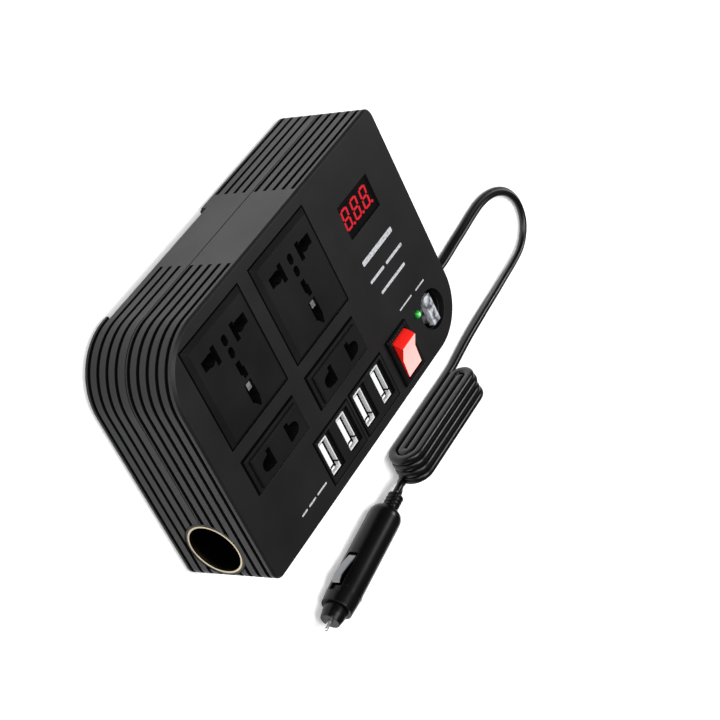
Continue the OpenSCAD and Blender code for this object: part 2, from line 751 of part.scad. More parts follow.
front_cover();
back_cover();
case_screws();
uni_socket(uni_x[0]);  // socket_left
uni_socket(uni_x[1]);  // socket_right
uni_pin(uni_x[0], -1);  // socket_left_live
uni_pin(uni_x[0], 1);  // socket_left_neutral
uni_earth(uni_x[0]);  // socket_left_earth
uni_pin(uni_x[1], -1);  // socket_right_live
uni_pin(uni_x[1], 1);  // socket_right_neutral
uni_earth(uni_x[1]);  // socket_right_earth
slim_socket(slim_x[0]);  // slim_socket_left
slim_socket(slim_x[1]);  // slim_socket_right
slim_contacts(slim_x[0]);  // slim_left_contacts
slim_contacts(slim_x[1]);  // slim_right_contacts
usb_frame(0);  // usb_frame_left
usb_frame(1);  // usb_frame_right
usb_shell(0);  // usb_shell_1
usb_shell(1);  // usb_shell_2
usb_shell(2);  // usb_shell_3
usb_shell(3);  // usb_shell_4
usb_tongue(0);  // usb_tongue_1
usb_tongue(1);  // usb_tongue_2
usb_tongue(2);  // usb_tongue_3
usb_tongue(3);  // usb_tongue_4
display_window();
display_body();
display_segments();
power_led();
fuse_holder();
fuse_body();
fuse_blades();
fuse_clips();
switch_housing();
switch_rocker();
switch_terminals();
lighter_shroud();
lighter_sleeve();
lighter_contact();
main_board();
board_screws();
transformer_core();
transformer_winding();
capacitors();
power_transistors();
heat_sink();
choke();
cord_gland();
cord_run();
cord_hank();
cord_plug_end();
plug_sleeve();
plug_handle();
plug_collar();
plug_nose();
plug_tip();
plug_tip_spring();
plug_fuse();
plug_contact(1);  // plug_contact_left
plug_contact(-1);  // plug_contact_right
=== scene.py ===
"""Car power inverter, its flat lead and its plug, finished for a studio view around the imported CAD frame."""
import math

import bmesh
import bpy
import numpy as np
from mathutils import Matrix, Vector


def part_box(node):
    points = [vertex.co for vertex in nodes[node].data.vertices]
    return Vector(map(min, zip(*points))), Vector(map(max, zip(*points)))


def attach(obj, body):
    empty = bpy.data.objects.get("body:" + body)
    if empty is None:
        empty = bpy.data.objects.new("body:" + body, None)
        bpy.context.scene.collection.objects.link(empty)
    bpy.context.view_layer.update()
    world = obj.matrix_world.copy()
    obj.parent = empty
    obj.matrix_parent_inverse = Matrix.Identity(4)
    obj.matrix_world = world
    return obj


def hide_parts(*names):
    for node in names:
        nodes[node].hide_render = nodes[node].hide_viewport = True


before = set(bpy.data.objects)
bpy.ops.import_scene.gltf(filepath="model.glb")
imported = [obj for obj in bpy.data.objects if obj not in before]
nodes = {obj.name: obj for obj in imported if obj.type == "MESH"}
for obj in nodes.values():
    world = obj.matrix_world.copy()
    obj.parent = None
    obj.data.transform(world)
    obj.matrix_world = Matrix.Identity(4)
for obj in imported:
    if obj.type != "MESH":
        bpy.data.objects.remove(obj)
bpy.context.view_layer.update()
MM = 0.001

# ---- Studio --------------------------------------------------------------------------------------------
# A white paper sweep under two large soft boxes on the viewer's side, with a small one on the far side that
# draws a line of light along the edges, and a camera that looks down on the panel, rolled with the case.
CAMERA_PLACE = Vector((-0.4289, 0.3356, 0.4733))
CAMERA_RIGHT = Vector((0.4638, -0.3907, 0.7951)).normalized()
CAMERA_BACK = Vector((-0.6184, 0.4999, 0.6064)).normalized()
CAMERA_LENS = 96.1

camera = bpy.data.objects.new("camera", bpy.data.cameras.new("camera"))
camera_up = CAMERA_BACK.cross(CAMERA_RIGHT).normalized()
camera_axes = Matrix((CAMERA_RIGHT, camera_up, CAMERA_BACK)).transposed().to_4x4()
camera.matrix_world = Matrix.Translation(CAMERA_PLACE) @ camera_axes
camera.data.lens = CAMERA_LENS
camera.data.sensor_width = 36
camera.data.clip_start = 0.01
bpy.context.scene.collection.objects.link(camera)
bpy.context.scene.camera = camera
bpy.context.scene.view_settings.view_transform = "Standard"


def linear(hex_colour):
    """An sRGB hex colour such as "2a2a2b" as linear RGBA."""
    parts = [int(hex_colour[i:i + 2], 16) / 255 for i in (0, 2, 4)]
    return tuple(p / 12.92 if p <= 0.04045 else ((p + 0.055) / 1.055) ** 2.4 for p in parts) + (1.0,)


def node(tree, kind, sockets=None, ramp=(), **settings):
    """Adds a node, sets its properties, and sets or links its inputs, by name or number. A colour ramp has a
    list of stops, each a place from 0 to 1 and a linear colour, the two ends first."""
    new = tree.nodes.new(kind)
    for key, value in settings.items():
        setattr(new, key, value)
    for key, value in (sockets or {}).items():
        if isinstance(value, bpy.types.NodeSocket):
            tree.links.new(value, new.inputs[key])
        else:
            new.inputs[key].default_value = value
    for i, (place, colour) in enumerate(ramp):
        stops = new.color_ramp.elements
        stop = stops[i] if i < 2 else stops.new(place)
        stop.position, stop.color = place, colour
    return new


def spaced(size):
    """The scale of a pattern whose features are this many millimetres apart."""
    return 1 / (size * MM)


def material(name, colour, **shader):
    """A new material, its tree, its Principled shader with the colour and keywords set, and its Object
    coordinates."""
    made = bpy.data.materials.new(name)
    made.use_nodes = True
    tree = made.node_tree
    tree.nodes.clear()
    bsdf = node(tree, "ShaderNodeBsdfPrincipled", {"Base Color": linear(colour)})
    for key, value in shader.items():
        bsdf.inputs[key.replace("_", " ")].default_value = value
    node(tree, "ShaderNodeOutputMaterial", {"Surface": bsdf.outputs[0]})
    place = node(tree, "ShaderNodeTexCoord").outputs["Object"]
    return made, tree, bsdf, place


def area_light(name, place, target, size, power):
    """A square soft box at a place, aimed at a target, with its side in metres and its power in watts."""
    light = bpy.data.objects.new(name, bpy.data.lights.new(name, "AREA"))
    light.data.size = size
    light.data.energy = power
    aim = (Vector(target) - Vector(place)).to_track_quat("-Z", "Y")
    light.matrix_world = Matrix.Translation(place) @ aim.to_matrix().to_4x4()
    bpy.context.scene.collection.objects.link(light)


area_light("key", (-0.85, 1.0, 0.8), (0.03, -0.03, 0.0), 0.9, 13)
area_light("top", (-0.25, 0.2, 1.5), (0.05, -0.05, 0.0), 1.0, 20)
area_light("edge", (0.835, 0.012, 0.975), (0.06, -0.05, 0.0), 0.28, 5.5)

world = bpy.data.worlds.new("studio")
world.use_nodes = True
world.node_tree.nodes["Background"].inputs["Color"].default_value = linear("f6f6f6")
world.node_tree.nodes["Background"].inputs["Strength"].default_value = 0.1
bpy.context.scene.world = world

# Matt white paper with a fine felt of fibres, that glows a little so that it comes out clean white
paper, tree, bsdf, place = material("seamless_paper", "fbfbfb", Roughness=0.9, Emission_Strength=0.3)
bsdf.inputs["Emission Color"].default_value = linear("ffffff")
fibres = node(tree, "ShaderNodeTexNoise", {"Vector": place, "Scale": spaced(1.43)})
felt = node(tree, "ShaderNodeBump", {"Height": fibres.outputs[0], "Strength": 0.05, "Distance": 0.0002})
tree.links.new(felt.outputs[0], bsdf.inputs["Normal"])
floor = bpy.data.objects.new("floor", bpy.data.meshes.new("floor"))
floor.data.from_pydata([(-4, -4, 0), (4, -4, 0), (4, 4, 0), (-4, 4, 0)], [], [(0, 1, 2, 3)])
floor.data.materials.append(paper)
bpy.context.scene.collection.objects.link(floor)

# ---- The lead ------------------------------------------------------------------------------------------
# A flat twin cable in black PVC, extruded in one piece. It drops from the gland, loops on the table, and is
# wound into a small upright hank two turns deep and four layers thick, which it leaves towards the plug.
# Sizes are in millimetres. A route's points are x, y, z and the lead's roll in degrees, 90 standing on edge.
LEAD_W, LEAD_T = 4.7, 3.3
WOUND_W, WOUND_T = 4.1, 3.5
HANK_X = (38, 101)
HANK_H = 16.5
HANK_Y = -96.75
LAYER = 3.5
RUN = [(84, -23, 20.8, 0), (88.5, -23.6, 19.8, 0), (92, -26.3, 16.4, 5), (94.5, -31, 11.6, 10),
       (97, -37, 7.4, 15), (100, -43.5, 4.6, 20), (104, -49.8, 3, 25), (109, -54.6, 2.3, 32),
       (115, -57.2, 2.1, 38), (121.5, -57.5, 2.1, 42), (128.2, -57.2, 2.1, 46), (135.3, -56.5, 2.2, 52),
       (144.4, -55.9, 2.2, 58), (153.2, -55.1, 2.3, 62), (162, -54.8, 2.3, 61), (170.3, -56.1, 2.2, 56),
       (177.8, -59.1, 2.1, 48), (184.2, -63.9, 2, 40), (188.1, -70.1, 2, 36), (188.9, -76.7, 2, 36),
       (186.7, -82.9, 2, 38), (181.9, -87.7, 2, 40), (175.6, -90.4, 2.1, 44), (167.4, -91.4, 2.2, 51),
       (157.4, -91.8, 2.3, 60), (147.3, -92.2, 2.4, 71), (137.3, -92.6, 2.4, 81), (127.2, -93.2, 2.4, 88),
       (117.2, -94, 2.4, 90), (108.3, -95.2, 2.3, 90), (100, -96.4, 2.2, 90), (92.75, -96.75, 2.1, 90)]
TO_PLUG = [(90, -110.75, 2.1, 90), (76, -110.7, 2.1, 90), (62, -110.7, 2.2, 90), (51, -110.7, 2.3, 90),
           (46.5, -110.4, 2.6, 90), (42.5, -109.1, 3.4, 85), (39, -107.5, 4.8, 70), (36, -106.6, 6, 45),
           (33, -106.3, 6.8, 20), (29.6, -106.8, 7.1, 0)]


def smooth_path(points, step):
    """A Catmull-Rom curve through the points, x, y, z and roll together, sampled about every step."""
    p = np.array(points, float)
    p = np.vstack([2 * p[0] - p[1], p, 2 * p[-1] - p[-2]])
    out = []
    for a, b, c, d in zip(p[:-3], p[1:-2], p[2:-1], p[3:]):
        n = max(2, int(np.linalg.norm((c - b)[:3]) / step))
        t = np.linspace(0, 1, n, endpoint=False)[:, None]
        out.append(0.5 * (2 * b + (c - a) * t + (2 * a - 5 * b + 4 * c - d) * t ** 2
                          + (3 * b - a - 3 * c + d) * t ** 3))
    return np.vstack(out + [p[-2:-1]])


def eased(t, start, end):
    """0 before start, 1 after end, and a cosine ease between."""
    return (1 - np.cos(math.pi * np.clip((t - start) / (end - start), 0, 1))) / 2


def hank_path():
    """Upright ovals, wound from the outside in on one layer and from the inside out on the next. Each oval
    runs along the bottom, round the far end by x = low - r sin a, z = mid - r cos a, back along the top, and
    round the near end, where its radius or its layer eases over to the next one's."""
    mid, outer, inner = HANK_H / 2, HANK_H / 2 - WOUND_W / 2 - 0.05, HANK_H / 2 - 1.5 * WOUND_W - 0.1
    low, high = HANK_X[0] + mid, HANK_X[1] - mid
    arc = np.linspace(0, math.pi, 22)
    line = np.linspace(0, 1, 12)[1:-1]
    share = arc / math.pi
    # Radius before and after each near end, and the stretches of it on which the radius and the layer change
    turns = [(outer, inner, (0, 1), None), (inner, inner, None, (0, 0.6)),
             (inner, outer, (0, 0.5), None), (outer, outer, None, (0.4, 1))] * 2
    y = HANK_Y
    out = []
    for before, after, radial, sideways in turns:
        r = before + (0 * arc if radial is None else (after - before) * eased(share, *radial))
        shift = 0 * arc if sideways is None else LAYER * eased(share, *sideways)
        out += [np.column_stack([high + (low - high) * line, 0 * line + y, 0 * line + mid - before]),
                np.column_stack([low - before * np.sin(arc), 0 * arc + y, mid - before * np.cos(arc)]),
                np.column_stack([low + (high - low) * line, 0 * line + y, 0 * line + mid + before]),
                np.column_stack([high + r * np.sin(arc), y - shift, mid + r * np.cos(arc)])]
        y -= shift[-1]
    return np.vstack(out)


def lay(route):
    """The lead's width and thickness directions along a route, rolled about it from flat on the table."""
    d = np.gradient(route[:, :3], axis=0)
    d /= np.linalg.norm(d, axis=1)[:, None]
    side = np.cross(d, [0, 0, 1])
    side /= np.linalg.norm(side, axis=1)[:, None]
    up = np.cross(side, d)
    c, s = np.cos(np.radians(route[:, 3]))[:, None], np.sin(np.radians(route[:, 3]))[:, None]
    return side * c + up * s, up * c - side * s


def new_object(name, verts, faces):
    """A smooth mesh object at the origin from arrays in millimetres."""
    mesh = bpy.data.meshes.new(name)
    mesh.from_pydata((np.asarray(verts) * MM).tolist(), [], [tuple(map(int, f)) for f in faces])
    mesh.polygons.foreach_set("use_smooth", [True] * len(mesh.polygons))
    made = bpy.data.objects.new(name, mesh)
    bpy.context.scene.collection.objects.link(made)
    return made


def tube_faces(rings, sides):
    """Quads between rings that turn clockwise about the path, and a cap at both ends."""
    i, k = np.meshgrid(np.arange(rings - 1), np.arange(sides), indexing="ij")
    a, b = i * sides + k, i * sides + (k + 1) % sides
    quads = np.stack([a, a + sides, b + sides, b], axis=-1).reshape(-1, 4).tolist()
    return quads + [list(range(sides)), [rings * sides - 1 - j for j in range(sides)]]


run = smooth_path(RUN, 1.6)
coil = hank_path()
tail = smooth_path(TO_PLUG, 1.5)
run_w, run_t = lay(run)
tail_w, tail_t = lay(tail)
coil_d = np.gradient(coil, axis=0) * [1, 0, 1]
coil_d /= np.linalg.norm(coil_d, axis=1)[:, None]
coil_t = np.tile([0.0, -1.0, 0.0], (len(coil), 1))
lead_path = np.vstack([run[:, :3], coil, tail[:, :3]])
lead_w = np.vstack([run_w, np.cross(coil_d, coil_t), tail_w])
lead_t = np.vstack([run_t, coil_t, tail_t])

# The section is a superellipse, pinched between the two cores; the hank squeezes it nearly round
wound = np.concatenate([eased(np.linspace(0, 1, len(run)), 0.78, 1), np.ones(len(coil)),
                        1 - eased(np.linspace(0, 1, len(tail)), 0.3, 0.75)])[:, None]
angle = np.linspace(0, 2 * math.pi, 28, endpoint=False)[None, :]
across = np.sign(np.cos(angle)) * np.abs(np.cos(angle)) ** 0.8
through = np.sign(np.sin(angle)) * np.abs(np.sin(angle)) ** 0.8
pinch = 1 - 0.17 * (1 - wound) * np.exp(-(across / 0.26) ** 2)
u = across * (LEAD_W + (WOUND_W - LEAD_W) * wound) / 2
v = through * pinch * (LEAD_T + (WOUND_T - LEAD_T) * wound) / 2
lead_verts = lead_path[:, None] + lead_w[:, None] * u[..., None] + lead_t[:, None] * v[..., None]
lead = new_object("lead", lead_verts.reshape(-1, 3), tube_faces(len(lead_path), angle.size))

# Soft PVC, extruded and waxed: a wet-looking black, dulled in patches by handling, with a faint drag texture
pvc, tree, bsdf, place = material("black_pvc", "060607", IOR=1.5, Specular_IOR_Level=0.36)
handled = node(tree, "ShaderNodeTexNoise", {"Vector": place, "Scale": spaced(16.7), "Detail": 3.0})
gloss = node(tree, "ShaderNodeMapRange", {"Value": handled.outputs[0], "From Min": 0.3, "From Max": 0.7,
                                          "To Min": 0.26, "To Max": 0.36})
drag = node(tree, "ShaderNodeTexNoise", {"Vector": place, "Scale": spaced(1.11)})
bump = node(tree, "ShaderNodeBump", {"Height": drag.outputs[0], "Strength": 0.12, "Distance": 0.0002})
tree.links.new(gloss.outputs[0], bsdf.inputs["Roughness"])
tree.links.new(bump.outputs[0], bsdf.inputs["Normal"])
lead.data.materials.append(pvc)
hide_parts("cord_run", "cord_hank", "cord_plug_end")
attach(lead, "case")

# ---- Case ----------------------------------------------------------------------------------------------
# Two moulded ABS covers that meet in a joint round the middle of the sides, screwed together from the back.
# The tool was spark eroded, which leaves a fine even grain and a satin sheen.
HALF_X, HALF_Y, PANEL_Z = (round(side / MM, 2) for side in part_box("front_cover")[1])
TIGHT, WIDE_LEFT, WIDE_RIGHT = 4.5, 24, 21
# The sides' grooves are this far inside the outline
GROOVE_FROM, GROOVE_TO = 1, 1.4
# CAD corners closer than this are one, and neighbouring faces flatter than this are one
WELD, FLAT = 0.003 * MM, math.radians(0.4)


def depth_inside(points):
    """How far points lie inside the case's outline, in millimetres. The outline is a rectangle with round
    corners, two tight and two wide ones across from each other, so the depth is the corner's radius less the
    distance past the corner's centre."""
    x, y = points[:, 0] / MM, points[:, 1] / MM
    radius = np.where(x < 0, np.where(y < 0, TIGHT, WIDE_LEFT), np.where(y < 0, WIDE_RIGHT, TIGHT))
    a, b = np.abs(x) - HALF_X + radius, np.abs(y) - HALF_Y + radius
    return radius - np.hypot(np.maximum(a, 0), np.maximum(b, 0)) - np.minimum(np.maximum(a, b), 0)


def finished(name, coat, edge, body="case", angle=30, hollow_shade=None):
    """A merged copy of a CAD node that stands for it, with edges sharper than the angle in degrees rounded by
    a radius in millimetres, and flat faces that keep their own normals. Faces in its grooves may have a darker
    coat of their own, a painted shade: those whose deepest corner is as far inside the case's outline as the
    grooves are."""
    mesh = nodes[name].data.copy()
    shape = bmesh.new()
    shape.from_mesh(mesh)
    bmesh.ops.remove_doubles(shape, verts=shape.verts, dist=WELD)
    bmesh.ops.dissolve_limit(shape, verts=shape.verts, edges=shape.edges, angle_limit=FLAT)
    shape.to_mesh(mesh)
    shape.free()
    mesh.polygons.foreach_set("use_smooth", [True] * len(mesh.polygons))
    mesh.materials.clear()
    mesh.materials.append(coat)
    if hollow_shade:
        mesh.materials.append(hollow_shade)
        places, corners = np.empty(len(mesh.vertices) * 3), np.empty(len(mesh.loops), int)
        starts = np.empty(len(mesh.polygons), int)
        mesh.vertices.foreach_get("co", places)
        mesh.loops.foreach_get("vertex_index", corners)
        mesh.polygons.foreach_get("loop_start", starts)
        deepest = np.maximum.reduceat(depth_inside(places.reshape(-1, 3))[corners], starts)
        # Faces in the grooves take the second, darker coat: painted shade
        groove_shade_mask = (deepest > GROOVE_FROM) & (deepest < GROOVE_TO)
        mesh.polygons.foreach_set("material_index", groove_shade_mask.astype(int))
    made = bpy.data.objects.new(name + "_finish", mesh)
    bpy.context.scene.collection.objects.link(made)
    rounding = made.modifiers.new("rounding", "BEVEL")
    rounding.width = edge * MM
    rounding.segments = 2
    rounding.limit_method = "ANGLE"
    rounding.angle_limit = math.radians(angle)
    rounding.use_clamp_overlap = True
    flatness = made.modifiers.new("flatness", "WEIGHTED_NORMAL")
    flatness.weight = 90
    flatness.keep_sharp = True
    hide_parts(name)
    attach(made, body)
    return made


def moulded(name, colour, rough, grain_mm, depth, **shader):
    """A moulded plastic: fine grain as bump, and slow patches of slightly different tone and roughness."""
    made, tree, bsdf, place = material(name, colour, IOR=1.5, **shader)
    grain = node(tree, "ShaderNodeTexNoise", {"Vector": place, "Scale": spaced(grain_mm), "Detail": 2.0})
    patches = node(tree, "ShaderNodeTexNoise", {"Vector": place, "Scale": spaced(22.2), "Detail": 3.0})
    lighter = tuple(c * 1.25 for c in linear(colour)[:3]) + (1.0,)
    tone = node(tree, "ShaderNodeValToRGB", {"Fac": patches.outputs[0]},
                ramp=[(0.3, linear(colour)), (0.7, lighter)])
    sheen = node(tree, "ShaderNodeMapRange", {"Value": patches.outputs[0], "From Min": 0.3, "From Max": 0.7,
                                              "To Min": rough - 0.03, "To Max": rough + 0.04})
    bump = node(tree, "ShaderNodeBump", {"Height": grain.outputs[0], "Strength": depth, "Distance": 0.00012})
    tree.links.new(tone.outputs[0], bsdf.inputs["Base Color"])
    tree.links.new(sheen.outputs[0], bsdf.inputs["Roughness"])
    tree.links.new(bump.outputs[0], bsdf.inputs["Normal"])
    return made


def plated(name, colour, rough, scratch_mm):
    """A bare or plated metal: soft patches of roughness, and fine rubbing marks as bump."""
    made, tree, bsdf, place = material(name, colour, Metallic=1.0)
    patches = node(tree, "ShaderNodeTexNoise", {"Vector": place, "Scale": spaced(3.33), "Detail": 2.0})
    sheen = node(tree, "ShaderNodeMapRange", {"Value": patches.outputs[0], "From Min": 0.3, "From Max": 0.7,
                                              "To Min": rough - 0.05, "To Max": rough + 0.07})
    rubbed = node(tree, "ShaderNodeTexNoise", {"Vector": place, "Scale": spaced(scratch_mm)})
    bump = node(tree, "ShaderNodeBump", {"Height": rubbed.outputs[0], "Strength": 0.06, "Distance": 0.0001})
    tree.links.new(sheen.outputs[0], bsdf.inputs["Roughness"])
    tree.links.new(bump.outputs[0], bsdf.inputs["Normal"])
    return made


def paint(made, *names):
    """Gives CAD nodes one material in every slot."""
    for name in names:
        mesh = nodes[name].data
        if not mesh.materials:
            mesh.materials.append(made)
        for i in range(len(mesh.materials)):
            mesh.materials[i] = made


# The ribs are rubbed to a soft sheen; the grooves between them are rougher and painted near black, a painted
# shade
case_abs = moulded("satin_black_abs", "0e0e0f", 0.46, 0.35, 0.25, Specular_IOR_Level=0.3)
groove_painted_shade_abs = moulded("groove_black_painted_shade", "040404", 0.8, 0.35, 0.25, Specular_IOR_Level=0.15)
finished("front_cover", case_abs, 0.3, hollow_shade=groove_painted_shade_abs)
finished("back_cover", case_abs, 0.3, hollow_shade=groove_painted_shade_abs)

# Zinc-plated screws, pulled up from the back
zinc = plated("zinc_plated_steel", "9a9da1", 0.35, 0.3)
finished("case_screws", zinc, 0.1)
paint(zinc, "board_screws")

# ---- Mains sockets -------------------------------------------------------------------------------------
# Black flame-retardant faces pushed through the panel from inside, with stamped brass clips at the bottom of
# their holes. A tinned leaf shows in the mouth of each earth hole.
socket_black = moulded("socket_black", "0a0a0b", 0.38, 0.5, 0.12, Specular_IOR_Level=0.3)
for part in ("socket_left", "socket_right", "slim_socket_left", "slim_socket_right"):
    finished(part, socket_black, 0.22)

brass = plated("stamped_brass", "c9b27a", 0.3, 0.2)
tin = plated("tin_plate", "e4e6e8", 0.3, 0.2)
paint(brass, *[n for n in nodes if n.endswith(("_live", "_neutral", "_contacts", "_clips"))])
paint(tin, "socket_left_earth", "socket_right_earth")

# ---- USB ports -----------------------------------------------------------------------------------------
# Black frames with two ports each: a nickel-plated shell, drawn from one strip, round a white nylon tongue.
usb_black = moulded("usb_black", "0b0b0c", 0.42, 0.5, 0.12, Specular_IOR_Level=0.3)
for part in ("usb_frame_left", "usb_frame_right"):
    finished(part, usb_black, 0.15)

# Near their front ends the shells and the tongues have a dark band painted across them, a painted shade
# standing for the gap there.
# These places are in metres, as a material reads them.
shell_low, shell_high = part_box("usb_shell_1")
GAP_SHADE_Y, GAP_SHADE_HALF, GAP_SHADE_EDGE = shell_low[1] + 2.75 * MM, 0.4 * MM, 0.1 * MM
# Below the first of these heights the nickel is painted dark, as painted shade inside the port; above the
# second it is bright
SHADED_Z, BRIGHT_Z = shell_high[2] - 1.9 * MM, shell_high[2] - 1.6 * MM


def from_gap_shade(tree, place):
    """The x, y and z of a place on a port, and how far it is along the port from the middle of the band of
    painted shade.
    """
    parts = node(tree, "ShaderNodeSeparateXYZ", {"Vector": place})
    past = node(tree, "ShaderNodeMath", {0: parts.outputs["Y"], 1: -GAP_SHADE_Y}, operation="ADD")
    return parts, node(tree, "ShaderNodeMath", {0: past.outputs[0]}, operation="ABSOLUTE")


# Nickel over steel: bright and smooth at the mouth, and painted dark below it, a painted shade down inside the
# port
nickel, tree, bsdf, place = material("nickel_plate_painted_shade", "f0f1f3", Metallic=0.35, Roughness=0.3)
parts, far = from_gap_shade(tree, place)
mouth = node(tree, "ShaderNodeMapRange", {"Value": parts.outputs["Z"], "From Min": SHADED_Z,
                                          "From Max": BRIGHT_Z})
# The band of painted shade stays dark at every height
clear = node(tree, "ShaderNodeMath", {0: far.outputs[0], 1: GAP_SHADE_HALF}, operation="GREATER_THAN")
lit_metal = node(tree, "ShaderNodeMath", {0: mouth.outputs[0], 1: clear.outputs[0]}, operation="MULTIPLY")
bright = node(tree, "ShaderNodeValToRGB", {"Fac": lit_metal.outputs[0]},
              ramp=[(0, linear("0c0c0d")), (1, linear("f4f5f6"))])
rolled = node(tree, "ShaderNodeTexNoise", {"Vector": place, "Scale": spaced(0.4)})
bump = node(tree, "ShaderNodeBump", {"Height": rolled.outputs[0], "Strength": 0.06, "Distance": 0.0001})
tree.links.new(bright.outputs[0], bsdf.inputs["Base Color"])
tree.links.new(bump.outputs[0], bsdf.inputs["Normal"])

# Moulded nylon: clean white, with the same band of painted shade across it
nylon, tree, bsdf, place = material("white_nylon_painted_gap_shade", "ededee", Roughness=0.4)
far = from_gap_shade(tree, place)[1]
white = node(tree, "ShaderNodeMapRange", {"Value": far.outputs[0], "From Min": GAP_SHADE_HALF,
                                          "From Max": GAP_SHADE_HALF + GAP_SHADE_EDGE})
tongue_gap_shade = node(tree, "ShaderNodeValToRGB", {"Fac": white.outputs[0]},
                   ramp=[(0, linear("0c0c0d")), (1, linear("ededee"))])
tree.links.new(tongue_gap_shade.outputs[0], bsdf.inputs["Base Color"])
for i in range(1, 5):
    finished(f"usb_shell_{i}", nickel, 0.07)
    finished(f"usb_tongue_{i}", nylon, 0.15)

# ---- Display and lamp ----------------------------------------------------------------------------------
# Three lit red figures of diffused epoxy under a smoked acrylic window, and a green lamp in a clear lens.
smoke, tree, bsdf, place = material("smoked_acrylic", "030304", Roughness=0.5, IOR=1.49, Alpha=0.3,
                                    Specular_IOR_Level=0.15)
wiped = node(tree, "ShaderNodeTexNoise", {"Vector": place, "Scale": spaced(6.67), "Detail": 2.0})
bump = node(tree, "ShaderNodeBump", {"Height": wiped.outputs[0], "Strength": 0.05, "Distance": 0.0001})
tree.links.new(bump.outputs[0], bsdf.inputs["Normal"])
paint(smoke, "display_window")
dark = moulded("display_black", "030304", 0.7, 0.3, 0.1, Specular_IOR_Level=0.1)
paint(dark, "display_body")

# Cast epoxy with a chip behind each bar, so a bar is a little brighter in some places than in others
red_glow, tree, bsdf, place = material("lit_red_epoxy", "c01020", Roughness=0.4, Emission_Strength=1.5)
chip = node(tree, "ShaderNodeTexNoise", {"Vector": place, "Scale": spaced(2)})
uneven = node(tree, "ShaderNodeValToRGB", {"Fac": chip.outputs[0]},
              ramp=[(0, linear("d01020")), (1, linear("f03044"))])
tree.links.new(uneven.outputs[0], bsdf.inputs["Emission Color"])
paint(red_glow, "display_segments")

# The lamp's chip is bright in the middle of the lens, and its rim stays dark green
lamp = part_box("power_led")
lamp_x, lamp_y = ((lamp[0][i] + lamp[1][i]) / 2 for i in (0, 1))
green_glow, tree, bsdf, place = material("lit_green_epoxy", "063010", Roughness=0.25, Emission_Strength=1.3)
centred = node(tree, "ShaderNodeMapping", {"Vector": place, "Location": (-lamp_x, -lamp_y, 0)})
off_axis = node(tree, "ShaderNodeVectorMath", {0: centred.outputs[0], 1: (1, 1, 0)}, operation="MULTIPLY")
radius = node(tree, "ShaderNodeVectorMath", {0: off_axis.outputs[0]}, operation="LENGTH")
CHIP_R, LENS_R = 0.2 * MM, 1.7 * MM
glow = node(tree, "ShaderNodeMapRange", {"Value": radius.outputs["Value"], "From Min": CHIP_R,
                                         "From Max": LENS_R, "To Min": 1.0, "To Max": 0.0})
lens = node(tree, "ShaderNodeValToRGB", {"Fac": glow.outputs[0]},
            ramp=[(0, linear("04200a")), (1, linear("8dffa0")), (0.45, linear("16a02c"))])
tree.links.new(lens.outputs[0], bsdf.inputs["Emission Color"])
paint(green_glow, "power_led")

# ---- Fuse ----------------------------------------------------------------------------------------------
# A blade fuse in milky polycarbonate, pushed into clips at the bottom of a round well.
finished("fuse_holder", socket_black, 0.2)

# Cloudy and half clear, so it shows grey and white patches, as of blades and walls behind it
milky, tree, bsdf, place = material("milky_polycarbonate", "c8ccd2", Roughness=0.2, IOR=1.58,
                                    Transmission_Weight=0.25)
clouds = node(tree, "ShaderNodeTexNoise", {"Vector": place, "Scale": spaced(3.03), "Detail": 2.0})
body_tone = node(tree, "ShaderNodeValToRGB", {"Fac": clouds.outputs[0]},
                 ramp=[(0.38, linear("5c6066")), (0.6, linear("dfe3e8"))])
tree.links.new(body_tone.outputs[0], bsdf.inputs["Base Color"])
finished("fuse_body", milky, 0.35, body="fuse")
paint(tin, "fuse_blades")

# ---- Rocker switch -------------------------------------------------------------------------------------
# A lit red rocker that turns on two pins in a black nylon housing, clipped into the panel.
switch_nylon = moulded("switch_nylon", "060607", 0.32, 0.6, 0.05, Specular_IOR_Level=0.3)
finished("switch_housing", switch_nylon, 0.3)

# Clear red polycarbonate, glowing red from the lamp inside; the sloping face that points up at its low end is
# painted pale pink, a painted highlight
RAMP_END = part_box("switch_rocker")[1][1] - 2.5 * MM
rocker_highlit_red, tree, bsdf, place = material("red_rocker_painted_highlight", "d8140c", Roughness=0.3, Emission_Strength=0.3)
along = node(tree, "ShaderNodeSeparateXYZ", {"Vector": place})
low_end = node(tree, "ShaderNodeMath", {0: along.outputs["Y"], 1: RAMP_END}, operation="LESS_THAN")
# Painted highlight: faces that point up at the low end turn pale pink, in colour and in glow
faces = node(tree, "ShaderNodeSeparateXYZ", {"Vector": node(tree, "ShaderNodeTexCoord").outputs["Normal"]})
highlight_facing = node(tree, "ShaderNodeMapRange", {"Value": faces.outputs["Z"], "From Min": 0.75,
                                             "From Max": 0.88})
lit = node(tree, "ShaderNodeMath", {0: low_end.outputs[0], 1: highlight_facing.outputs[0]}, operation="MULTIPLY")
highlight_flush = node(tree, "ShaderNodeValToRGB", {"Fac": lit.outputs[0]},
             ramp=[(0, linear("d01a12")), (1, linear("ffb4ae"))])
clouded = node(tree, "ShaderNodeTexNoise", {"Vector": place, "Scale": spaced(5)})
bump = node(tree, "ShaderNodeBump", {"Height": clouded.outputs[0], "Strength": 0.04, "Distance": 0.0002})
tree.links.new(highlight_flush.outputs[0], bsdf.inputs["Emission Color"])
tree.links.new(highlight_flush.outputs[0], bsdf.inputs["Base Color"])
tree.links.new(bump.outputs[0], bsdf.inputs["Normal"])
finished("switch_rocker", rocker_highlit_red, 0.35, body="rocker")
paint(tin, "switch_terminals")

# ---- Lighter socket ------------------------------------------------------------------------------------
# A rolled steel sleeve with a bright lip in a black shroud, open at the case's short side.
mouth_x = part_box("lighter_sleeve")[0][0]
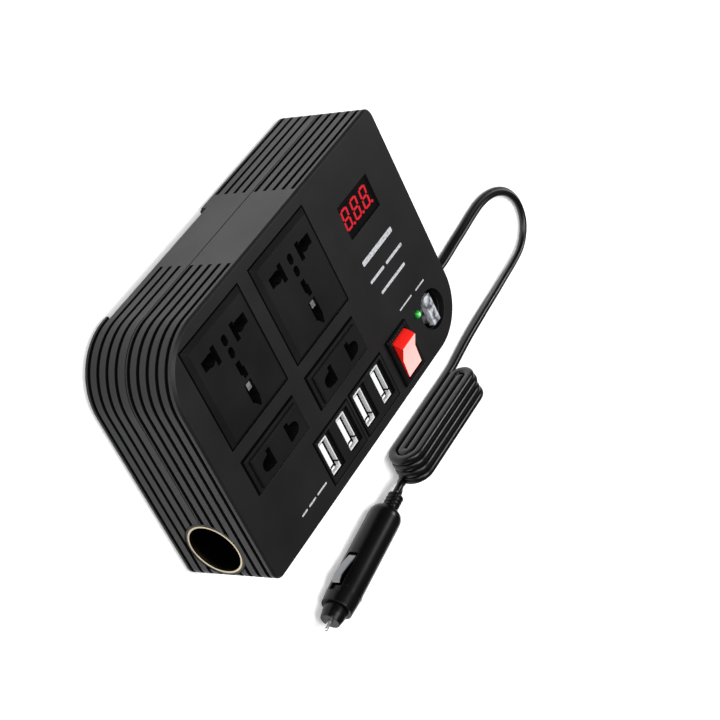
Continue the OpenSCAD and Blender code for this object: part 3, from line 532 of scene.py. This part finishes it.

# Yellow-passivated zinc: warm and bright on the lip, and painted dark further in, a painted shade inside the
# socket
champagne, tree, bsdf, place = material("plated_sleeve_painted_shade", "d8cbb4", Metallic=1.0, Roughness=0.24)
inward = node(tree, "ShaderNodeSeparateXYZ", {"Vector": place})
lip = node(tree, "ShaderNodeMapRange", {"Value": inward.outputs["X"], "From Min": mouth_x + 0.4 * MM,
                                        "From Max": mouth_x + 2 * MM})
sleeve_depth_shade = node(tree, "ShaderNodeValToRGB", {"Fac": lip.outputs[0]},
               ramp=[(0, linear("b5a88f")), (1, linear("3f352b"))])
drawn = node(tree, "ShaderNodeTexNoise", {"Vector": place, "Scale": spaced(1.11)})
bump = node(tree, "ShaderNodeBump", {"Height": drawn.outputs[0], "Strength": 0.08, "Distance": 0.0001})
tree.links.new(sleeve_depth_shade.outputs[0], bsdf.inputs["Base Color"])
tree.links.new(bump.outputs[0], bsdf.inputs["Normal"])
finished("lighter_sleeve", champagne, 0.12)
finished("lighter_shroud", socket_black, 0.15)
paint(tin, "lighter_contact")

# ---- Printing ------------------------------------------------------------------------------------------
# Pad-printed in white ink on the panel: plain bars in place of words.
# Each bar is x from, x to, y, height, in millimetres.
PRINT_BARS = [(34.5, 57.5, 6.2, 2.2), (34, 44.6, -2, 1.3), (46.4, 59, -2, 1.3), (37, 56, -9, 1.3),
              (41.9, 51.6, -21.1, 0.7), (54.8, 61.8, -21.4, 0.7),
              (-51.5, -47.6, -40.7, 0.8), (-46.4, -41.4, -40.7, 0.8), (-40.2, -33.4, -40.7, 0.8)]
INK = 0.03
ROUNDEST = 0.6


def printed_bars(bars, z):
    """Flat bars with round corners: x = corner + r cos a and y = corner + r sin a, with r half the bar's
    height up to the roundest, so that a slim bar's ends are half circles."""
    turn = np.linspace(-math.pi / 2, 3 * math.pi / 2, 16, endpoint=False)
    verts, faces = [], []
    for x0, x1, y, h in bars:
        r = min(h / 2, ROUNDEST)
        middle = np.where(np.cos(turn) >= -1e-9, x1 - r, x0 + r)
        rise = np.where(np.sin(turn) >= 0, 1, -1) * (h / 2 - r)
        ring = np.column_stack([middle + r * np.cos(turn), y + rise + r * np.sin(turn), 0 * turn + z])
        faces.append(list(range(len(verts), len(verts) + turn.size)))
        verts += ring.tolist()
    return verts, faces


# Thin spots in the ink let the black through, so it comes out a soft grey white
ink, tree, bsdf, place = material("white_ink", "b4b5b8", Roughness=0.55)
worn = node(tree, "ShaderNodeTexNoise", {"Vector": place, "Scale": spaced(0.833), "Detail": 2.0})
coverage = node(tree, "ShaderNodeValToRGB", {"Fac": worn.outputs[0]},
                ramp=[(0.3, linear("77787b")), (0.5, linear("b9babd"))])
tree.links.new(coverage.outputs[0], bsdf.inputs["Base Color"])
printing = new_object("panel_print", *printed_bars(PRINT_BARS, PANEL_Z + INK))
printing.data.materials.append(ink)
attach(printing, "case")

# ---- Inside --------------------------------------------------------------------------------------------
# The board and what stands on it. None of it shows with the case closed.
mask, tree, bsdf, place = material("solder_mask", "1f5a34", Roughness=0.3)
tracks = node(tree, "ShaderNodeTexBrick", {"Vector": place, "Scale": spaced(8.33),
                                           "Color1": linear("1f5a34"), "Color2": linear("24663c"),
                                           "Mortar": linear("2f7a4a")})
tree.links.new(tracks.outputs["Color"], bsdf.inputs["Base Color"])
paint(mask, "main_board")
paint(moulded("sintered_ferrite", "3a3a3e", 0.6, 0.3, 0.3), "transformer_core")

# Enamelled wire, wound in even turns. At a scale of 1, a wave node has this many bands in a unit of length.
BANDS = 20 / (2 * math.pi)
copper, tree, bsdf, place = material("enamelled_copper", "b5672a", Metallic=1.0, Roughness=0.3)
wire = node(tree, "ShaderNodeTexWave", {"Vector": place, "Scale": spaced(1.184) / BANDS},
            bands_direction="Z")
bump = node(tree, "ShaderNodeBump", {"Height": wire.outputs["Fac"], "Strength": 0.6, "Distance": 0.0002})
tree.links.new(bump.outputs[0], bsdf.inputs["Normal"])
paint(copper, "transformer_winding", "choke")
paint(moulded("capacitor_sleeve", "23324f", 0.3, 1.0, 0.03), "capacitors")
paint(moulded("epoxy_package", "121213", 0.5, 0.2, 0.2), "power_transistors")

# Extruded aluminium, with die lines along the fins
alloy, tree, bsdf, place = material("extruded_aluminium", "a9adb2", Metallic=1.0, Roughness=0.4)
die = node(tree, "ShaderNodeTexWave", {"Vector": place, "Scale": spaced(0.785) / BANDS, "Distortion": 2.0},
           bands_direction="X")
bump = node(tree, "ShaderNodeBump", {"Height": die.outputs["Fac"], "Strength": 0.1, "Distance": 0.0001})
tree.links.new(bump.outputs[0], bsdf.inputs["Normal"])
paint(alloy, "heat_sink")

# ---- Gland and plug ------------------------------------------------------------------------------------
# A tapered gland clipped into the joint, and a car plug in glossy black plastic: ribbed sleeve, handle,
# collar and screwed nose, with a sprung tip and two bowed side contacts.
gloss_black = moulded("gloss_black_plastic", "060607", 0.28, 0.9, 0.03, Specular_IOR_Level=0.2)
on_lead = [finished("cord_gland", gloss_black, 0.25)]
on_lead += [finished(part, gloss_black, 0.25, angle=40)
            for part in ("plug_sleeve", "plug_handle", "plug_collar")]
on_lead.append(finished("plug_nose", gloss_black, 0.2, body="nose_cap", angle=40))
on_lead.append(finished("plug_tip", tin, 0.1, body="plug_tip", angle=40))
nickel_silver = plated("nickel_silver", "7d7f82", 0.38, 0.2)
on_lead.append(finished("plug_contact_left", nickel_silver, 0.12, body="contact_left"))
on_lead.append(finished("plug_contact_right", nickel_silver, 0.12, body="contact_right"))
paint(tin, "plug_tip_spring", "plug_fuse")
on_lead += [nodes["plug_tip_spring"], nodes["plug_fuse"]]
